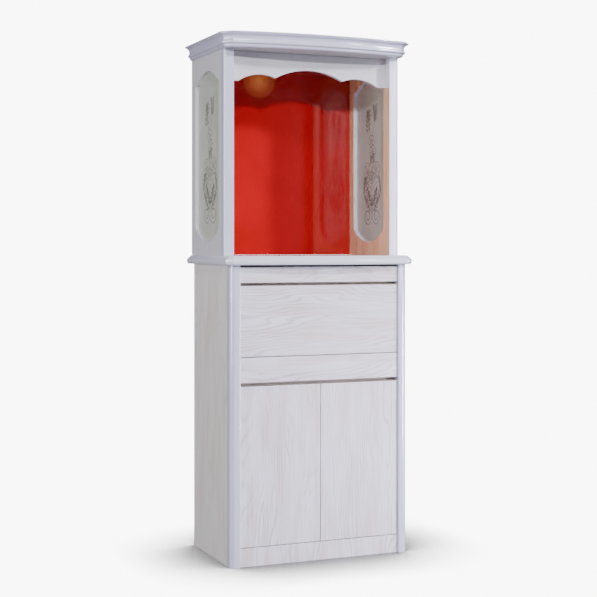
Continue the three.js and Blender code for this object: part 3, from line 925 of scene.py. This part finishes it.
def draw_spray(etching):
    """A common floral spray: curls at the foot, a bush of leaves, a bunch of flowers and a sprig on top."""
    for side in (-1, 1):
        for across, up, lean, radius, turns, winding, width in CURLS:
            angle = (90 - side * lean) * DEGREE
            etching.curl((side * across, up), angle, radius, turns, side * winding, width)
        for start, bend, end, width in SIDE_STEMS:
            etching.stem(*((side * s, t) for s, t in (start, bend, end)), width)
        for bow, spread, foot, rise, lean, lean_step, length, width in BUSH_LEAVES:
            for step, place in enumerate(BUSH_PLACES):
                root = (side * (bow * place * place + spread * place), foot + rise * place)
                etching.leaf(root, (90 - side * (lean + lean_step * step)) * DEGREE, length, width)
    for start, bend, end, width in STEMS:
        etching.stem(start, bend, end, width)
    for count, across, up, across_step, up_step, angle, angle_step, length, width in LEAF_ROWS:
        for step in range(count):
            root = (across + across_step * step, up + up_step * step)
            etching.leaf(root, (angle + angle_step * step) * DEGREE, length, width)
    for across, up, radius, petals, turn in FLOWERS:
        etching.flower((across, up), radius, petals, turn)


def make_pane(label):
    """The frosted pane with the spray etched into both faces."""
    node = f"{label}_window_glass"
    low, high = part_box(node)
    middle = (low.y + high.y) / 2
    sill = low.z + WINDOW_COVER
    work = soft_block(node, SLIM_EDGE, SLIM_EDGE_SEGMENTS)
    for level in (low.x - ETCH_DEPTH, high.x + ETCH_DEPTH):
        etching = Etching(lambda s, t, level=level: (level, middle + s, sill + t))
        draw_spray(etching)
        corners = [work.verts.new(point) for point in etching.points]
        for face in etching.faces:
            work.faces.new([corners[index] for index in face]).material_index = 1
    settle_work(node + "_etched", work, node, [GLASS, ETCHING])


def make_valance():
    node = "valance"
    low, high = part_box(node)
    half = high.x
    cusp_x = VALANCE_CUSP[0]
    cusp_z = low.z + VALANCE_CUSP[1]
    end_x = half - VALANCE_END
    side_x = cusp_x + (end_x - cusp_x) * VALANCE_SIDE_PLACE
    side_z = low.z + VALANCE_SIDE_RISE
    points = [(-half, low.z), (-end_x, low.z)]
    points += arc_through(points[-1], (-side_x, side_z), (-cusp_x, cusp_z), ARC_STEPS)
    points += arc_through(points[-1], (0.0, low.z + VALANCE_CENTRE_RISE), (cusp_x, cusp_z), ARC_STEPS)
    points += arc_through(points[-1], (side_x, side_z), (end_x, low.z), ARC_STEPS)
    points += [(half, low.z), (half, high.z), (-half, high.z)]
    edge = VALANCE_EDGE
    inset = offset_outline(points, -edge)
    builder = Builder(lambda a, b, level: (a, level, b))
    builder.skin([inset], low.y)
    builder.wall(inset, low.y, points, low.y + edge)
    builder.wall(points, low.y + edge, points, high.y)
    builder.skin([points], high.y)
    weld_piece("valance_scalloped", builder, node, [VALANCE_WASH])


for shrine_side, shrine_label in ((-1, "left"), (1, "right")):
    make_shrine_post(shrine_side, shrine_label)
    make_wall(shrine_side, shrine_label)
    make_lining(shrine_side, shrine_label)
    make_pane(shrine_label)
make_valance()
edged_board("red_back_panel", RED, SLIM_EDGE, SLIM_EDGE_SEGMENTS)


# Boards of the cupboard, its drawers, tray and doors
edged_board("cupboard_left_side", washed_side("side_left_grain", 21.0), FINE_EDGE)
edged_board("cupboard_right_side", washed_side("side_right_grain", 23.5), FINE_EDGE)
edged_board("plinth_rail", whitewashed("plinth_grain", "Z", "X", 26.2), FINE_EDGE)
gap_shaded_front("tray_front", whitewashed("tray_front_grain", "X", "Z", 31.7))
gap_shaded_front("deep_drawer_front", whitewashed("deep_drawer_front_grain", "X", "Z", 37.4))
gap_shaded_front("shallow_drawer_front", whitewashed("shallow_drawer_front_grain", "X", "Z", 42.8))
gap_shaded_front("left_door", whitewashed("left_door_grain", "Z", "X", 47.1))
gap_shaded_front("right_door", whitewashed("right_door_grain", "Z", "X", 53.9))
DRAWER_WOOD_LONG = plain_wood("drawer_wood_long", "Y", "Z", 61.0)
DRAWER_WOOD_WIDE = plain_wood("drawer_wood_wide", "X", "Y", 64.0)
for drawer in ("deep_drawer", "shallow_drawer"):
    edged_board(drawer + "_left_side", DRAWER_WOOD_LONG)
    edged_board(drawer + "_right_side", DRAWER_WOOD_LONG)
    edged_board(drawer + "_back", DRAWER_WOOD_WIDE)
    edged_board(drawer + "_bottom", DRAWER_WOOD_WIDE, SLIM_EDGE)
edged_board("tray_board", DRAWER_WOOD_WIDE)
edged_board("cupboard_back", carcass_wood("back_board_wood", "Z", "X", 71.0), SLIM_EDGE)


def paint_node(node, material):
    """A plain CAD piece keeps its shape and takes a procedural material."""
    mesh = frame["nodes"][node].data
    mesh.materials.clear()
    mesh.materials.append(material)


SHELF_WOOD = carcass_wood("shelf_wood", "X", "Z", 75.0)
for shelf in ("cupboard_bottom", "shelf_over_doors", "shelf_under_deep_drawer", "shelf_under_tray"):
    paint_node(shelf, SHELF_WOOD)
# The top board's wash is darkened as painted shade of the soffit under the crown
paint_node("shrine_top_board", washed_wall("top_board_shaded_wash", "X", "Y", 79.0, TOP_BOARD_SHADE_LEVEL))


# Floor, light and camera

FLOOR_REACH = 40.0
FLOOR_PALE = 0.14
FLOOR_MIRROR = 0.22
FLOOR_MIRROR_ROUGHNESS = 0.22
SHADOW_REACH = 0.34
SHADOW_DEPTH = 5.0
BACKGROUND_WHITE = 11.0
AMBIENT = 0.13
AMBIENT_TINT = (0.97, 0.97, 1.0)
MIRRORED_AMBIENT = 0.04


def mixed(tree, factor, first, second):
    """A mix of two shaders, in which the factor shows the second."""
    node = tree.nodes.new("ShaderNodeMixShader")
    tree.links.new(factor, node.inputs["Fac"])
    tree.links.new(first, node.inputs[1])
    tree.links.new(second, node.inputs[2])
    return node.outputs["Shader"]


def make_floor():
    """A floor that the camera sees only as a soft shadow and a faint reflection round the cabinet's foot."""
    mesh = bpy.data.meshes.new("studio_floor")
    corners = rectangle((-FLOOR_REACH, -FLOOR_REACH), (FLOOR_REACH, FLOOR_REACH))
    mesh.from_pydata([(x, y, 0.0) for x, y in corners], [], [(0, 1, 2, 3)])
    floor = bpy.data.objects.new("studio_floor", mesh)
    bpy.context.scene.collection.objects.link(floor)
    material, tree, shader = new_material("studio_floor_white")
    shader.inputs["Base Color"].default_value = (FLOOR_PALE, FLOOR_PALE, FLOOR_PALE, 1.0)
    nearness = tree.nodes.new("ShaderNodeAmbientOcclusion")
    nearness.inputs["Distance"].default_value = SHADOW_REACH
    shade = math_node(tree, "POWER", nearness.outputs["AO"], SHADOW_DEPTH)
    seen = tree.nodes.new("ShaderNodeBsdfTransparent")
    tree.links.new(shade, seen.inputs["Color"])
    mirror = tree.nodes.new("ShaderNodeBsdfGlossy")
    mirror.inputs["Roughness"].default_value = FLOOR_MIRROR_ROUGHNESS
    near = math_node(tree, "MULTIPLY", math_node(tree, "SUBTRACT", 1.0, shade), FLOOR_MIRROR)
    shown = mixed(tree, near, seen.outputs["BSDF"], mirror.outputs["BSDF"])
    path = tree.nodes.new("ShaderNodeLightPath")
    choice = mixed(tree, path.outputs["Is Camera Ray"], shader.outputs["BSDF"], shown)
    output = [node for node in tree.nodes if node.type == "OUTPUT_MATERIAL"][0]
    tree.links.new(choice, output.inputs["Surface"])
    mesh.materials.append(material)


def background(tree, strength):
    node = tree.nodes.new("ShaderNodeBackground")
    node.inputs["Strength"].default_value = strength
    return node


def make_world():
    """Soft ambient light, with the plain pale background that the camera sees."""
    world = bpy.data.worlds.new("studio")
    bpy.context.scene.world = world
    world.use_nodes = True
    tree = world.node_tree
    tree.nodes.clear()
    output = tree.nodes.new("ShaderNodeOutputWorld")
    ambient = background(tree, AMBIENT)
    ambient.inputs["Color"].default_value = (*AMBIENT_TINT, 1.0)
    mirrored = background(tree, MIRRORED_AMBIENT)
    seen = background(tree, BACKGROUND_WHITE)
    path = tree.nodes.new("ShaderNodeLightPath")
    unseen = mixed(tree, path.outputs["Is Glossy Ray"], ambient.outputs["Background"],
                   mirrored.outputs["Background"])
    shown = mixed(tree, path.outputs["Is Camera Ray"], unseen, seen.outputs["Background"])
    tree.links.new(shown, output.inputs["Surface"])


def add_area(name, place, target, size, power, tint, shape="RECTANGLE"):
    """An area light at a place, turned toward a target."""
    light = bpy.data.lights.new(name, "AREA")
    light.shape = shape
    light.size, light.size_y = size
    light.energy = power
    light.color = tint
    holder = bpy.data.objects.new(name, light)
    holder.location = place
    holder.rotation_euler = (Vector(target) - Vector(place)).to_track_quat("-Z", "Y").to_euler()
    bpy.context.scene.collection.objects.link(holder)
    return holder


def from_front(target, azimuth, elevation, distance):
    """A place seen from a target; the azimuth, in degrees, runs to the right from the front's normal."""
    turn, rise = azimuth * DEGREE, elevation * DEGREE
    toward = Vector((math.sin(turn) * math.cos(rise), -math.cos(turn) * math.cos(rise), math.sin(rise)))
    return Vector(target) + distance * toward


KEY_TARGET = (0.0, -0.1, 1.7)
FRONT_TARGET = (0.0, -0.1, 1.0)
WHITE = (1.0, 1.0, 1.0)
KEY_TINT = (0.95, 0.95, 1.0)
STRIP_TINT = (0.88, 0.88, 1.0)
LOW_STRIP_SPREAD = 44

# Lights: name, place, target, size, power and tint
LIGHTS = (
    ("front_key", from_front(KEY_TARGET, -13, 14.5, 6.0), KEY_TARGET, (0.43, 0.3), 268, KEY_TINT),
    ("high_softbox", from_front(KEY_TARGET, -5, 34, 5.0), KEY_TARGET, (1.2, 0.8), 62, KEY_TINT),
    ("right_key", from_front(KEY_TARGET, 47, 19.5, 4.0), KEY_TARGET, (0.3, 0.3), 170, KEY_TINT),
    ("right_strip", (1.42, -2.1, 1.5), (0.3, -0.1, 1.5), (0.2, 1.2), 11, STRIP_TINT),
    ("low_right_strip", (2.2, -1.9, 0.4), (0.25, -0.1, 0.4), (0.4, 0.8), 6, STRIP_TINT),
    ("left_softbox", from_front(FRONT_TARGET, -80, 8, 3.5), FRONT_TARGET, (1.2, 2.2), 66, WHITE),
    ("left_strip", from_front(FRONT_TARGET, -88, 8, 3.0), FRONT_TARGET, (0.14, 1.2), 12, WHITE),
    ("back_softbox", from_front(FRONT_TARGET, 172, 14, 4.2), FRONT_TARGET, (1.8, 1.8), 90, WHITE),
)

# The warm glow on the red panel: place, target, tint, and the width and power of each of its lights
GLOW_PLACE = (0.03, -0.045, 1.768)
GLOW_TARGET = (0.03, 0.2, 1.768)
GLOW_STEP = 0.002
GLOW_TINT = (1.0, 0.42, 0.1)
GLOW_LIGHTS = ((0.035, 0.004), (0.08, 0.017), (0.13, 0.034))

CAMERA_PLACE = (-1.8784, -4.4006, 1.109)
CAMERA_TURN = -22.4307
CAMERA_LENS = 78.807
CAMERA_SENSOR = 36.0
CAMERA_SHIFT = (0.0234, -0.0887)
CAMERA_CLIP = 200.0

make_floor()
make_world()
lights = {name: add_area(name, *rest) for name, *rest in LIGHTS}
lights["low_right_strip"].data.spread = math.radians(LOW_STRIP_SPREAD)
lights["back_softbox"].visible_camera = False
lights["back_softbox"].visible_glossy = False
for glow_index, (glow_width, glow_power) in enumerate(GLOW_LIGHTS):
    glow_place = Vector(GLOW_PLACE) + Vector((0.0, GLOW_STEP * glow_index, 0.0))
    glow_size = (glow_width, glow_width)
    add_area(f"niche_glow_{glow_index}", glow_place, GLOW_TARGET, glow_size, glow_power, GLOW_TINT, "ELLIPSE")

camera_data = bpy.data.cameras.new("photo_camera")
camera_data.sensor_fit = "HORIZONTAL"
camera_data.sensor_width = CAMERA_SENSOR
camera_data.lens = CAMERA_LENS
camera_data.shift_x, camera_data.shift_y = CAMERA_SHIFT
camera_data.clip_end = CAMERA_CLIP
camera = bpy.data.objects.new("photo_camera", camera_data)
camera.location = CAMERA_PLACE
camera.rotation_euler = (math.pi / 2, 0.0, math.radians(CAMERA_TURN))
bpy.context.scene.collection.objects.link(camera)
bpy.context.scene.camera = camera
